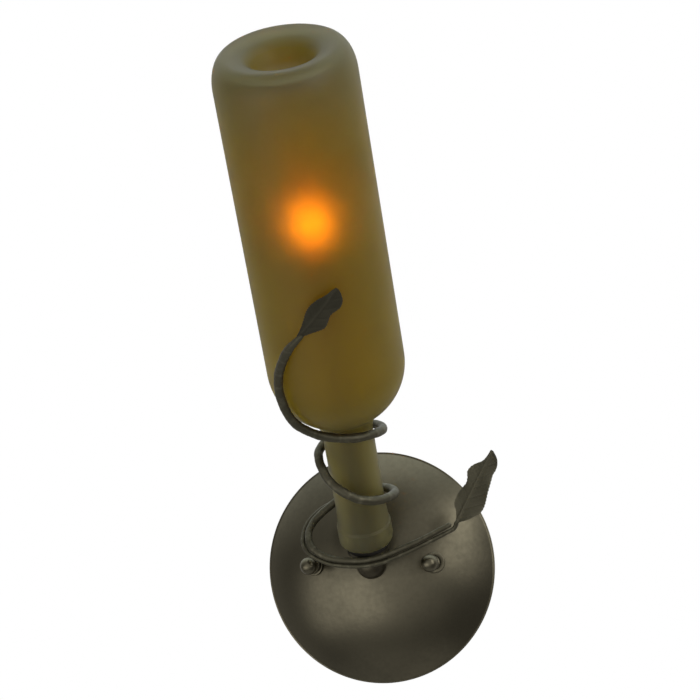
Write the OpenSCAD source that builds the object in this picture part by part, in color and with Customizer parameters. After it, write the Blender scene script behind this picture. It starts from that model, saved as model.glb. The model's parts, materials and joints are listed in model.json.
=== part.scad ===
// Wall sconce: an upturned bottle as the glass, leaning out of a domed
// back-plate like a torch, with a forged vine wound round its neck.
// +Z up, the front faces -Y, and the wall is the plane y = 0. The origin is
// the middle of the outlet-box screws, on the wall. All sizes are in mm.

/* [Stance] */
// Lean of the bottle away from the wall, degrees from upright
lean = 35; // [30:1:38]
// Height of the bottle's mouth above the canopy's apex, along its axis
seat_height = 20; // [20:0.5:22]

/* [Canopy] */
// Radius of the canopy at the wall
canopy_r = 66.5; // [64:0.5:70]
// Depth of the canopy from the wall to its apex
canopy_depth = 26; // [25:0.5:27]
// Sheet thickness of the canopy
canopy_wall = 1.2; // [1:0.1:1.6]
// How far the canopy's centre hangs below the box screws
canopy_drop = 2.5; // [2:0.5:3]

/* [Wall bar] */
// Length of the wall bar
bar_length = 108; // [104:1:110]
// Width of the wall bar
bar_width = 22; // [20:1:24]
// Thickness of the wall bar
bar_thick = 2.5; // [2:0.1:3]
// Distance between the two box screws
box_spacing = 88.9; // [88.9]
// Width of the slots for the box screws
slot_width = 4.6; // [4.4:0.1:5]
// Length of the slots for the box screws, end to end
slot_length = 10; // [9:0.5:10]
// Distance between the two canopy studs
stud_spacing = 69.85; // [69.85]
// Radius of the studs
stud_r = 2.08; // [2.08]

/* [Ball nuts] */
// Radius of the ball
ball_r = 5; // [4.8:0.1:5.4]
// Distance of the ball's centre from the wall
ball_out = 34; // [33:0.5:35]

/* [Glass bottle] */
// Overall length of the bottle
bottle_length = 304; // [299:1:305]
// Radius of the bottle's body
bottle_r = 37.5; // [37:0.1:38]
// Thickness of the body's glass
glass_wall = 3; // [2.5:0.1:3.5]
// Radius of the neck
neck_r = 14; // [13.8:0.1:14.3]
// Radius of the neck's bore
neck_bore_r = 9.25; // [9.2:0.05:9.4]
// Radius of the lip
lip_r = 15.3; // [15:0.1:15.4]
// Depth of the recess in the bottle's end
recess_depth = 14; // [12:0.5:15]

/* [Lampholder] */
// Height of the pipe's top above the bottle's mouth
pipe_top = 148; // [144:1:150]
// Radius of the lamp pipe
pipe_r = 4.86; // [4.86]
// Radius of the pipe's bore
pipe_bore_r = 3.3; // [3.2:0.05:3.4]
// Greatest radius of the bulb, which passes the neck's bore
bulb_r = 8.2; // [7.5:0.1:8.5]

/* [Vine] */
// Radius of the vine's rod where it winds round the bottle
rod_r = 2.5; // [2.2:0.1:2.6]
// Radius of the vine's rod at its thin end
rod_tip_r = 1.4; // [1.3:0.1:1.8]
// Radius of the leaf's stem
stem_r = 1.25; // [1.2:0.05:1.5]
// Thickness of the leaves
leaf_thick = 1.3; // [1.2:0.1:1.6]

/* [Hidden] */
$fn = 64;

// Clearance that keeps a threaded or pushed-in piece off its hole
fit_gap = 0.04;
// Through cuts run this far past the face they cut
cut = 1;

// The dome is part of a sphere through the rim and the apex.
dome_r = (canopy_r * canopy_r + canopy_depth * canopy_depth) / (2 * canopy_depth);
stud_x = stud_spacing / 2;
// Distance of a stud's hole from the canopy's centre, and the dome's
// height and slope there
stud_reach = norm([stud_x, canopy_drop]);
dome_at_stud = sqrt(pow(dome_r, 2) - pow(stud_reach, 2)) - dome_r + canopy_depth;
dome_slope = asin(stud_x / dome_r);

hole_gap = 0.5;
centre_hole_r = 5.2;
ground_x = -18;
ground_r = 2.4;
ground_head_r = 4.6;
ground_head_h = 2.4;
// The ground wire lies between the bar and the screw's head.
ground_wire_r = 0.8;
ground_grip = 2.2;
stud_hex_r = 5;
stud_nut_h = 3.2;
washer_h = 1.1;
washer_lift = 0.3;
ball_flange_h = 1.4;
ball_base = dome_at_stud + 3.3;

hub_r = 8.5;
hub_neck_r = 7.8;
hub_rise = 3.2;
// The passage for the leads starts just behind the apex.
passage_start = -0.5;
hub_top = 14.5;
// The lamp pipe starts here, clear of the dome's skin.
pipe_start = 7;
nipple_in = 15;
nipple_out = 30;
// The washer's rim meets the dome's inner skin.
washer_r = 10;
washer_out = canopy_depth - canopy_wall - 0.7;
washer_in = washer_out - 1;
lug_thick = 0.8;
lug_angle = 150;
lug_reach = 14;
nipple_nut_h = 3.5;
seat_r = 12;
seat_h = 2.5;
gasket_r = 11.8;
gasket_h = 3;
plug_r = neck_bore_r - 0.25;
plug_h = 22;
plug_taper = 4;

lip_h = 13;
shoulder_r = 36;
shoulder_s = 118;
shoulder_turn = 55;
// The heel is a quarter of an ellipse that ends on the crest the bottle
// would stand on.
heel_in = 8.5;
heel_h = 17;
crest_r = bottle_r - heel_in;
base_wall = 4;
crest_wall = 5.6;

socket_r = 8.7;
shell_r = 6;
base_r = shell_r - 0.08;
bulb_seat = 178;
bulb_widest = 190;
bulb_tip = 236;

// The route of the vine's rod: [height above the mouth along the bottle's
// axis, distance from the axis, angle round it from the front to the right]
VINE_ROUTE = [
    [160, 40.8, -6], [154, 40.8, -15], [148, 40.8, -22], [141, 40.8, -28],
    [134, 40.8, -33], [127, 40.8, -36], [120, 40.8, -37], [113, 40.4, -36],
    [106, 38.9, -35], [98.6, 35.8, -33], [92.4, 31, -29], [87.2, 26, -22],
    [84.2, 22.4, -10], [82.4, 20.6, 5], [80.6, 19.5, 22], [78.8, 18.9, 44],
    [76, 18.8, 70], [72.5, 19.4, 98], [69.5, 18.8, 128], [66.5, 18.6, 160],
    [64, 18.5, -165], [62, 18.4, -130], [60.5, 18.3, -97], [59, 18.3, -76],
    [56, 18.3, -57], [51, 18.4, -39], [46.8, 18.5, -18], [43.5, 18.6, -1],
    [40, 18.6, 17], [37.5, 18.8, 35], [35, 19, 55], [32, 19.4, 80],
    [29, 20, 104], [26.5, 19, 130], [23.5, 18.8, 165], [20.5, 19.5, -160],
    [18, 21.5, -132], [14, 26, -112], [10.5, 30, -100], [8, 32, -89],
    [5.5, 32.2, -78], [2.5, 30.5, -68], [0, 27.2, -60], [-1.8, 23, -50],
    [-2.8, 18.8, -36], [-3.1, 16, -17], [-3, 15.3, 5], [-2.3, 16.4, 30],
    [-0.8, 19.7, 53], [1.2, 26, 71], [3.8, 35, 83], [5.8, 42, 89],
    [7.6, 49, 93]
];
// The stem of the lower leaf lies against the thin end of the rod.
STEM_ROUTE = [
    [8, 20, -124], [10, 18.6, -143], [13.5, 19, -158], [16, 21.5, -148],
    [15.5, 25, -131], [13.5, 29, -116], [11, 32.3, -104], [7, 35.2, -93],
    [3, 35.8, -80], [-0.3, 33.4, -70], [-2.8, 29, -61], [-4.6, 24.6, -50],
    [-5.4, 20.6, -36], [-5.5, 18, -17], [-5.3, 17.4, 5], [-4.6, 18.5, 30],
    [-3.2, 21.8, 53], [-1.2, 28.2, 71], [1.4, 37.3, 83], [3.2, 44.4, 89],
    [5, 50.3, 92.5], [9.5, 52.5, 93]
];

// Leaves: overall length, then each side's [half width, lobes, phase],
// the side towards -X first
upper_leaf_length = 36;
UPPER_SIDES = [[6.2, 2.9, -60], [7, 2.86, -31]];
lower_leaf_length = 45;
LOWER_SIDES = [[6.6, 2.94, -21], [9.3, 2, 101]];

// Helpers

function unit(v) = v / norm(v);

// Points along an arc, angles in degrees from the first axis
function arc(centre, r, from, to, steps = 8) = [
    for (i = [0 : steps])
        let (a = from + (to - from) * i / steps)
            centre + r * [cos(a), sin(a)]
];

// A point given by height, distance and angle round the bottle's axis
function around(p) = [p[1] * sin(p[2]), -p[1] * cos(p[2]), p[0]];

// A smooth curve through the points: four neighbours give each stretch
function blend(a, b, c, d, t) =
    0.5 * (2 * b + (c - a) * t + (2 * a - 5 * b + 4 * c - d) * t * t
        + (3 * b - a - 3 * c + d) * t * t * t);

function smooth(p, steps) =
    let (last = len(p) - 1)
        concat([
            for (i = [0 : last - 1])
                for (k = [0 : steps - 1])
                    blend(p[max(i - 1, 0)], p[i], p[i + 1], p[min(i + 2, last)], k / steps)
        ], [p[last]]);

function tangents(p) = [
    for (i = [0 : len(p) - 1])
        unit(p[min(i + 1, len(p) - 1)] - p[max(i - 1, 0)])
];

// Side vectors carried along the path without twist
function sides_along(t, first) = [
    for (
        i = 0, n = unit(first - (first * t[0]) * t[0]);
        i < len(t);
        n = i + 1 < len(t) ? unit(n - (n * t[i + 1]) * t[i + 1]) : n, i = i + 1
    )
        n
];

// A tube along a path, with a radius for each point of the path
module tube(path, radii, sides = 10, first = [1, 0.2, 0.1]) {
    t = tangents(path);
    n = sides_along(t, first);
    rings = len(path);
    points = [
        for (i = [0 : rings - 1])
            for (k = [0 : sides - 1])
                let (a = 360 * k / sides)
                    path[i] + radii[i] * (cos(a) * n[i] + sin(a) * cross(t[i], n[i]))
    ];
    skin = [
        for (i = [0 : rings - 2])
            for (k = [0 : sides - 1])
                let (
                    p = i * sides + k,
                    q = i * sides + (k + 1) % sides
                )
                    each [[p, p + sides, q], [q, p + sides, q + sides]]
    ];
    near_end = [for (k = [1 : sides - 2]) [0, k, k + 1]];
    base = (rings - 1) * sides;
    far_end = [for (k = [1 : sides - 2]) [base, base + k + 1, base + k]];
    polyhedron(points, concat(skin, near_end, far_end), convexity = 6);
}

module off_wall(from = 0) {
    // Turns a piece's own +Z into the way out of the wall
    translate([0, -from, 0]) rotate([90, 0, 0]) children();
}

module at_canopy() {
    translate([0, 0, -canopy_drop]) off_wall() children();
}

module at_apex() {
    // The bottle's axis starts at the canopy's apex
    translate([0, -canopy_depth, -canopy_drop]) rotate([lean, 0, 0]) children();
}

module on_axis(s = 0) {
    at_apex() translate([0, 0, seat_height + s]) children();
}

module pipe_ring(outer, inner, h) {
    difference() {
        cylinder(r = outer, h = h);
        translate([0, 0, -cut]) cylinder(r = inner, h = h + 2 * cut);
    }
}

module hex_nut(r, bore, h) {
    difference() {
        cylinder(r = r, h = h, $fn = 6);
        translate([0, 0, -cut]) cylinder(r = bore, h = h + 2 * cut);
    }
}

module dome_solid(r) {
    translate([0, 0, canopy_depth - dome_r]) sphere(r = r, $fn = 128);
}

// Wall side

module wall_bar() {
    end_x = (bar_length - bar_width) / 2;
    color("silver")
        off_wall()
            difference() {
                union() {
                    translate([-end_x, -bar_width / 2, 0]) cube([2 * end_x, bar_width, bar_thick]);
                    for (x = [-end_x, end_x]) translate([x, 0, 0]) cylinder(r = bar_width / 2, h = bar_thick);
                }
                for (side = [-1, 1]) {
                    translate([side * box_spacing / 2, 0, 0]) box_slot();
                    translate([side * stud_x, 0, -cut]) cylinder(r = stud_r + fit_gap, h = bar_thick + 2 * cut);
                }
                translate([0, 0, -cut]) cylinder(r = centre_hole_r, h = bar_thick + 2 * cut);
                translate([ground_x, 0, -cut]) cylinder(r = ground_r + fit_gap, h = bar_thick + 2 * cut);
            }
}

module box_slot() {
    reach = (slot_length - slot_width) / 2;
    translate([-reach, -slot_width / 2, -cut]) cube([2 * reach, slot_width, bar_thick + 2 * cut]);
    for (x = [-reach, reach]) translate([x, 0, -cut]) cylinder(r = slot_width / 2, h = bar_thick + 2 * cut);
}

module ground_screw() {
    color("seagreen")
        translate([ground_x, 0, 0]) off_wall() {
            cylinder(r = ground_r, h = bar_thick + ground_grip);
            translate([0, 0, bar_thick + ground_grip]) cylinder(r = ground_head_r, h = ground_head_h, $fn = 6);
        }
}

module stud(side) {
    color("silver")
        translate([side * stud_x, 0, 0]) off_wall() {
            cylinder(r = stud_r, h = ball_out - 2);
            translate([0, 0, ball_out - 2]) cylinder(r1 = stud_r, r2 = stud_r - 0.5, h = 0.6);
        }
}

module stud_left() {
    stud(-1);
}

module stud_right() {
    stud(1);
}

module stud_lock_nuts() {
    color("silver")
        for (side = [-1, 1])
            translate([side * stud_x, 0, 0]) off_wall(bar_thick)
                hex_nut(stud_hex_r, stud_r + fit_gap, stud_nut_h);
}

// Canopy and its ball nuts

module canopy() {
    color([0.25, 0.24, 0.2])
        at_canopy()
            difference() {
                intersection() {
                    difference() {
                        dome_solid(dome_r);
                        dome_solid(dome_r - canopy_wall);
                    }
                    cylinder(r = canopy_r + cut, h = canopy_depth + cut, $fn = 128);
                }
                translate([0, 0, canopy_depth - 10]) cylinder(r = pipe_r + hole_gap / 2, h = 20);
                for (side = [-1, 1])
                    translate([side * stud_x, canopy_drop, 0]) cylinder(r = stud_r + hole_gap, h = canopy_depth);
            }
}

module nut_washer(side) {
    // Lies on the dome, square to its skin
    color([0.3, 0.28, 0.23])
        translate([side * stud_x, -dome_at_stud, 0]) rotate([90, 0, side * dome_slope])
            translate([0, 0, washer_lift])
                pipe_ring(6, stud_r + 1.2, washer_h);
}

module nut_washer_left() {
    nut_washer(-1);
}

module nut_washer_right() {
    nut_washer(1);
}

module ball_nut(side) {
    color([0.3, 0.28, 0.23])
        translate([side * stud_x, 0, 0]) off_wall()
            difference() {
                union() {
                    translate([0, 0, ball_base]) cylinder(r = 3.9, h = ball_flange_h);
                    translate([0, 0, ball_base]) cylinder(r = 3.1, h = ball_out - ball_base);
                    translate([0, 0, ball_out]) sphere(r = ball_r, $fn = 48);
                }
                cylinder(r = stud_r + 0.05, h = ball_out - 0.8);
            }
}

module ball_nut_left() {
    ball_nut(-1);
}

module ball_nut_right() {
    ball_nut(1);
}

// Hub: a ball knuckle screwed to the canopy carries the pipe and the seat.

module hub_knuckle() {
    color([0.22, 0.21, 0.18])
        difference() {
            at_apex() {
                translate([0, 0, hub_rise]) sphere(r = hub_r);
                translate([0, 0, hub_rise]) cylinder(r = hub_neck_r, h = hub_top - hub_rise);
            }
            at_canopy() dome_solid(dome_r);
            at_apex() translate([0, 0, pipe_start]) cylinder(r = pipe_r + fit_gap, h = hub_top);
            at_apex() translate([0, 0, passage_start]) cylinder(r = pipe_bore_r, h = hub_top);
            at_canopy() cylinder(r = pipe_r + fit_gap, h = nipple_out);
        }
}

module hub_nipple() {
    color("silver")
        difference() {
            at_canopy() translate([0, 0, nipple_in]) pipe_ring(pipe_r, pipe_bore_r, nipple_out - nipple_in);
            at_apex() translate([0, 0, passage_start]) cylinder(r = pipe_r + 2 * fit_gap, h = hub_top);
        }
}

module nipple_washer() {
    color("silver")
        at_canopy() translate([0, 0, washer_in]) pipe_ring(washer_r, pipe_r + 0.1, washer_out - washer_in);
}

module ground_lug() {
    color("darkgoldenrod")
        at_canopy() translate([0, 0, washer_in - lug_thick])
            difference() {
                union() {
                    cylinder(r = 8, h = lug_thick);
                    rotate([0, 0, lug_angle]) translate([0, -2.5, 0]) cube([lug_reach, 5, lug_thick]);
                }
                translate([0, 0, -cut]) cylinder(r = pipe_r + 0.1, h = 3);
            }
}

module nipple_nut() {
    color("silver")
        at_canopy() translate([0, 0, washer_in - lug_thick - nipple_nut_h])
            hex_nut(8, pipe_r + fit_gap, nipple_nut_h);
}

// Seat of the bottle

module seat_disc() {
    color([0.22, 0.21, 0.18])
        at_apex() translate([0, 0, hub_top]) pipe_ring(seat_r, pipe_r + 0.1, seat_h);
}

module seat_lock_nut() {
    color("silver") at_apex() translate([0, 0, hub_top + seat_h]) hex_nut(7.2, pipe_r + fit_gap, 2.4);
}

module seat_gasket() {
    color("dimgray") on_axis(-gasket_h) pipe_ring(gasket_r, 8.2, gasket_h - 0.05);
}

module neck_plug() {
    color("dimgray")
        on_axis()
            difference() {
                union() {
                    cylinder(r = plug_r, h = plug_h - plug_taper);
                    translate([0, 0, plug_h - plug_taper]) cylinder(r1 = plug_r, r2 = 7, h = plug_taper);
                }
                translate([0, 0, -cut]) cylinder(r = pipe_r + fit_gap, h = plug_h + 2 * cut);
            }
}

module lamp_pipe() {
    color("silver")
        at_apex() translate([0, 0, pipe_start])
            pipe_ring(pipe_r, pipe_bore_r, seat_height + pipe_top - pipe_start);
}

// Leads, held inside all the way

lead_r = 1.05;

// The pipe's axis in the object's own axes
function on_pipe(s) = [0, -canopy_depth - s * sin(lean), -canopy_drop + s * cos(lean)];

// A lead ends in its hole in the socket's insulator and enters the pipe below.
terminal_x = 5;

function lead_route(side) = concat(
    [
        for (knot = [[8.5, terminal_x], [3.8, terminal_x], [2.3, 4], [1.2, 2], [-2, 1.3]])
            on_pipe(seat_height + pipe_top + knot[0]) + [side * knot[1], 0, 0]
    ],
    [
        for (s = [seat_height + pipe_top - 20 : -20 : 8])
            on_pipe(s) + [side * 1.3, 0, 0]
    ],
    [
        [side * 1.3, -28, 0],
        [side * 1.3, -26, -1.8],
        [side * 1.3, -23.5, -2.5],
        [side * 1.3, -18, -2.5],
        [side * 1.6, -14, -3],
        [side * 5, -11.5, -5.5],
        [side * 10, -11, -8.5],
        [side * 16, -11, -9]
    ]
);

module lead(side) {
    path = smooth(lead_route(side), 3);
    tube(path, [for (p = path) lead_r], 8);
}

module live_lead() {
    color("black") lead(1);
}

module neutral_lead() {
    color("white") lead(-1);
}

module connector(side) {
    color("orange")
        translate([side * 13, -11, -9]) rotate([0, side * 90, 0])
            difference() {
                cylinder(r1 = 4.8, r2 = 3, h = 17);
                translate([0, 0, -cut]) cylinder(r = lead_r + 0.15, h = 9);
            }
}

module connector_left() {
    connector(-1);
}

module connector_right() {
    connector(1);
}

module ground_wire() {
    // A hook round the ground screw, then over to the lug
    hook_r = ground_r + ground_wire_r + 0.1;
    hook_y = -bar_thick - ground_grip / 2;
    path = smooth(concat(
        [
            for (a = [-60 : -40 : -260])
                [ground_x + hook_r * cos(a), hook_y, hook_r * sin(a)]
        ],
        [
            [-15.5, hook_y - 0.2, 4.4], [-12.6, -5.2, 6.2], [-11.3, -9, 7.4],
            [-11, -14, 6.8], [-11.2, -18.5, 5.2], [-11.4, -22.5, 4.3]
        ]
    ), 3);
    color("peru") tube(path, [for (p = path) ground_wire_r], 8);
}

// Lampholder

module socket_cap() {
    color("goldenrod")
        on_axis(pipe_top - 10)
            difference() {
                cylinder(r = socket_r, h = 14);
                translate([0, 0, 10.1]) cylinder(r = socket_r - 0.8, h = 5);
                translate([0, 0, -cut]) cylinder(r = pipe_r + fit_gap, h = 12);
            }
}

module socket_insulator() {
    color("beige")
        on_axis(pipe_top + 4)
            difference() {
                cylinder(r = socket_r - 0.1, h = 5);
                for (side = [-1, 1])
                    translate([side * terminal_x, 0, -cut]) cylinder(r = 1.3, h = 5 + 2 * cut);
            }
}

module socket_sleeve() {
    color("ivory") on_axis(pipe_top + 9) pipe_ring(socket_r, shell_r + 1, 21);
}

module screw_shell() {
    color("gold") on_axis(pipe_top + 10.5) pipe_ring(shell_r + 0.5, shell_r, 18);
}

module centre_contact() {
    color("gold")
        on_axis(pipe_top + 9) {
            cylinder(r = 2.4, h = 1.2);
            cylinder(r = 1.2, h = 2.4);
        }
}

// Glass bottle, mouth down, so that the recess in its end is on top

function shoulder_centre() = [bottle_r - shoulder_r, shoulder_s];

// The concave arc that leads from the shoulder to a neck of radius r
function throat(r, start) =
    let (k = (start[0] - r) / (1 - cos(shoulder_turn)))
        arc([r + k, start[1] - k * sin(shoulder_turn)], k, 180 - shoulder_turn, 180);

// The recess, from the crest to the axis: it falls gently, then steeply,
// flattens, and rises to a small round knob in the middle. Each entry is [share of the
// crest's radius, share of the recess's depth].
RECESS_SHAPE = [
    [0.92, 0.02], [0.84, 0.06], [0.76, 0.13], [0.7, 0.2], [0.64, 0.3],
    [0.58, 0.44], [0.52, 0.6], [0.46, 0.76], [0.39, 0.9], [0.31, 0.98],
    [0.24, 1], [0.18, 0.96], [0.09, 0.91], [0, 0.9]
];

// The same for the inside of the end, a wall's thickness lower
END_INSIDE = [
    [0, 0.92], [0.24, 1], [0.36, 0.97], [0.44, 0.88], [0.52, 0.72],
    [0.6, 0.53], [0.7, 0.33], [0.8, 0.2], [0.9, 0.13], [1, 0.115]
];

function recess_line() = [
    for (p = RECESS_SHAPE)
        [crest_r * p[0], bottle_length - recess_depth * p[1]]
];

// The inner skin of the end: under the recess, then over the hollow crest
function recess_back() = concat(
    [
        for (p = END_INSIDE)
            [crest_r * p[0], bottle_length - recess_depth * p[1] - base_wall]
    ],
    [
        for (a = [72 : -18 : 0])
            [crest_r + (heel_in - glass_wall) * cos(a), bottle_length - heel_h + (heel_h - crest_wall) * sin(a)]
    ]
);

function bottle_profile() =
    let (
        outer_start = shoulder_centre() + shoulder_r * [cos(shoulder_turn), -sin(shoulder_turn)],
        inner_start = shoulder_centre() + (shoulder_r - glass_wall) * [cos(shoulder_turn), -sin(shoulder_turn)],
        outer_throat = throat(neck_r, outer_start),
        last = len(outer_throat) - 1
    )
        concat(
            [[neck_bore_r, 0]],
            arc([lip_r - 3.5, 3.5], 3.5, -90, 0, 6),
            [
                [lip_r, lip_h - 1],
                [lip_r - 0.3, lip_h],
                [lip_r - 0.2, lip_h + 1],
                [neck_r + 0.4, lip_h + 6],
                [neck_r, lip_h + 10]
            ],
            [for (i = [last : -1 : 0]) outer_throat[i]],
            arc(shoulder_centre(), shoulder_r, -shoulder_turn, 0, 10),
            [
                for (a = [0 : 9 : 90])
                    [crest_r + heel_in * cos(a), bottle_length - heel_h * (1 - sin(a))]
            ],
            recess_line(),
            recess_back(),
            arc(shoulder_centre(), shoulder_r - glass_wall, 0, -shoulder_turn, 10),
            throat(neck_bore_r, inner_start)
        );

module glass_bottle() {
    color([0.5, 0.4, 0.1, 0.6])
        on_axis() rotate_extrude($fn = 96) polygon(bottle_profile());
}

// Bulb

module bulb_base() {
    color("silver")
        on_axis(pipe_top + 14) pipe_ring(base_r, base_r - 0.4, bulb_seat - pipe_top - 14);
}

module bulb_insulator() {
    color("black")
        on_axis(pipe_top + 12.6) {
            cylinder(r1 = 3, r2 = base_r - 0.45, h = 1.4);
            translate([0, 0, 1.4]) cylinder(r = base_r - 0.45, h = 1.6);
        }
}

module bulb_contact() {
    color("silver") on_axis(pipe_top + 11.6) cylinder(r1 = 1.6, r2 = 2.2, h = 0.95);
}

// Half outline of the bulb's skin, drawn in by a given amount
function bulb_outline(inset) =
    let (r = bulb_r - inset)
        concat(
            [[base_r - 0.45 - inset, bulb_seat - 6], [base_r - 0.45 - inset, bulb_seat]],
            [
                for (i = [1 : 12])
                    let (t = i / 12)
                        [
                            base_r - 0.45 - inset + (r - base_r + 0.45 + inset) * (1 - cos(180 * t)) / 2,
                            bulb_seat + (bulb_widest - bulb_seat) * t
                        ]
            ],
            [
                for (i = [0 : 10])
                    let (a = 90 * i / 10)
                        [max(r * cos(a), 0), bulb_tip - bulb_r + r * sin(a)]
            ]
        );

module bulb_glass() {
    color([1, 0.9, 0.7, 0.5])
        on_axis()
            difference() {
                rotate_extrude($fn = 48) polygon(concat(bulb_outline(0), [[0, bulb_seat - 6]]));
                rotate_extrude($fn = 48) polygon(concat(bulb_outline(0.6), [[0, bulb_seat - 6]]));
                translate([0, 0, bulb_seat - 6 - cut]) cylinder(r = base_r - 1.05, h = cut + 0.5);
            }
}

module bulb_stem() {
    color([0.9, 0.9, 0.95, 0.6])
        on_axis(bulb_seat - 7) {
            cylinder(r = base_r - 1.1, h = 3);
            translate([0, 0, 3]) cylinder(r = 1.8, h = 21);
        }
}

module bulb_filament() {
    // Two supports and a bowed wire between them
    wire = [for (a = [-70 : 20 : 250]) [5 * cos(a), 0, 9 + 7 * sin(a)]];
    color("orange") on_axis(bulb_seat + 14) tube(wire, [for (p = wire) 0.5], 8, [0, 1, 0]);
}

// Vine

rod_steps = 4;
// The rod swells from the upper leaf to its full thickness, keeps it, and
// then thins to its end. Both are counted in points of its route.
rod_full_from = 3;
rod_taper_from = 33;
rod_start_r = 1.2;

function rod_radii(path) =
    let (last = len(path) - 1)
        [
            for (i = [0 : last])
                let (
                    t = max(0, (i / rod_steps - rod_taper_from) / (len(VINE_ROUTE) - 1 - rod_taper_from)),
                    swollen = pow(min(1, i / rod_steps / rod_full_from), 0.8),
                    body = rod_start_r + (rod_r - rod_start_r) * swollen + (rod_tip_r - rod_r) * t
                )
                    i == last ? 0.45 * body : i == last - 1 ? 0.85 * body : body
        ];

module vine_rod() {
    path = smooth([for (p = VINE_ROUTE) around(p)], rod_steps);
    color([0.2, 0.2, 0.17]) on_axis() tube(path, rod_radii(path), 10, [0, 1, 0.3]);
}

module leaf_stem() {
    path = smooth([for (p = STEM_ROUTE) around(p)], rod_steps);
    last = len(path) - 1;
    radii = [for (i = [0 : last]) i == 0 ? 0.5 * stem_r : stem_r];
    color([0.2, 0.2, 0.17]) on_axis() tube(path, radii, 8, [0, 0, 1]);
}

// Half width of a leaf at u from base to tip: a long oval with lobes
function leaf_half(u, side) =
    0.8 * (1 - u) + 0.12
        + side[0] * pow(max(0, sin(180 * pow(u, 0.85))), 0.7) * (1 + 0.2 * cos(360 * side[1] * u + side[2]));

// Height of the leaf's skin: a fold along the midrib, and edges that wave
function leaf_lift(u, v, wave) =
    1.1 * pow(abs(v), 1.3) * sin(180 * u) + wave * v * v * sin(360 * 2.2 * u + 60 * v);

leaf_rows = 22;
leaf_cols = 8;

// Grid points of one skin of a leaf: [across, along, height]
function leaf_skin(length, sides, wave, height) = [
    for (i = [0 : leaf_rows])
        for (k = [0 : leaf_cols])
            let (
                u = i / leaf_rows,
                v = 2 * k / leaf_cols - 1
            )
                [v * leaf_half(u, sides[v < 0 ? 0 : 1]), length * u, height + leaf_lift(u, v, wave)]
];

function leaf_faces() =
    let (
        wide = leaf_cols + 1,
        skin = (leaf_rows + 1) * wide,
        top = leaf_rows * wide
    )
        concat(
            [
                for (i = [0 : leaf_rows - 1])
                    for (k = [0 : leaf_cols - 1])
                        let (p = i * wide + k)
                            each [
                                [p, p + 1, p + wide],
                                [p + 1, p + wide + 1, p + wide],
                                [skin + p, skin + p + wide, skin + p + 1],
                                [skin + p + 1, skin + p + wide, skin + p + wide + 1]
                            ]
            ],
            [
                for (i = [0 : leaf_rows - 1])
                    let (
                        p = i * wide,
                        q = p + leaf_cols
                    )
                        each [
                            [p, p + wide, skin + p],
                            [p + wide, skin + p + wide, skin + p],
                            [q, skin + q, q + wide],
                            [q + wide, skin + q, skin + q + wide]
                        ]
            ],
            [
                for (k = [0 : leaf_cols - 1])
                    each [
                        [k, skin + k, k + 1],
                        [k + 1, skin + k, skin + k + 1],
                        [top + k, top + k + 1, skin + top + k],
                        [top + k + 1, skin + top + k + 1, skin + top + k]
                    ]
            ]
        );

// The upper leaf is bent round the bottle's body.
upper_leaf_s = 158.5;
upper_leaf_angle = -10;
upper_leaf_turn = 43;
upper_leaf_gap = 1.6;

function wrapped(p) =
    let (
        skin_r = bottle_r + upper_leaf_gap,
        across = p[0] * cos(upper_leaf_turn) + p[1] * sin(upper_leaf_turn),
        along = p[1] * cos(upper_leaf_turn) - p[0] * sin(upper_leaf_turn)
    )
        around([
            upper_leaf_s + along,
            skin_r + p[2],
            upper_leaf_angle + across / skin_r * 180 / PI
        ]);

module upper_leaf() {
    flat = concat(
        leaf_skin(upper_leaf_length, UPPER_SIDES, 0.5, 0.5),
        leaf_skin(upper_leaf_length, UPPER_SIDES, 0.5, 0.5 + leaf_thick)
    );
    color([0.2, 0.2, 0.17]) on_axis() polyhedron([for (p = flat) wrapped(p)], leaf_faces(), convexity = 4);
}

LOWER_LEAF_BASE = [52.4, -41, 22.3];
lower_leaf_turn = 28;
lower_leaf_tip = -12;

module lower_leaf() {
    flat = concat(
        leaf_skin(lower_leaf_length, LOWER_SIDES, 1.2, 0),
        leaf_skin(lower_leaf_length, LOWER_SIDES, 1.2, leaf_thick)
    );
    color([0.2, 0.2, 0.17])
        translate(LOWER_LEAF_BASE) rotate([90, 0, 0]) rotate([0, lower_leaf_tip, -lower_leaf_turn])
            polyhedron(flat, leaf_faces(), convexity = 4);
}

// Beads that join the rod and the stem to the seat disc's edge
WELD_SPOTS = [[-4.6, 13.7, -14], [-4.6, 13.6, 6]];
weld_r = 2.2;

module vine_welds() {
    color([0.2, 0.2, 0.17])
        on_axis()
            for (spot = WELD_SPOTS)
                translate(around(spot)) sphere(r = weld_r, $fn = 24);
}

wall_bar();
ground_screw();
stud_left();
stud_right();
stud_lock_nuts();
canopy();
nut_washer_left();
nut_washer_right();
ball_nut_left();
ball_nut_right();
hub_knuckle();
hub_nipple();
nipple_washer();
nipple_nut();
ground_lug();
ground_wire();
seat_disc();
seat_lock_nut();
seat_gasket();
neck_plug();
lamp_pipe();
live_lead();
neutral_lead();
connector_left();
connector_right();
socket_cap();
socket_insulator();
socket_sleeve();
screw_shell();
centre_contact();
glass_bottle();
bulb_base();
bulb_insulator();
bulb_contact();
bulb_glass();
bulb_stem();
bulb_filament();
vine_rod();
leaf_stem();
upper_leaf();
lower_leaf();
vine_welds();
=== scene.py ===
"""Dresses a wall sconce: an upturned bottle of frosted amber glass leans out of
a domed back-plate like a torch, and a forged vine with two leaves winds round
its neck. Lengths are in metres, and the wall is the plane y = 0."""
import json
from itertools import accumulate

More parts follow.
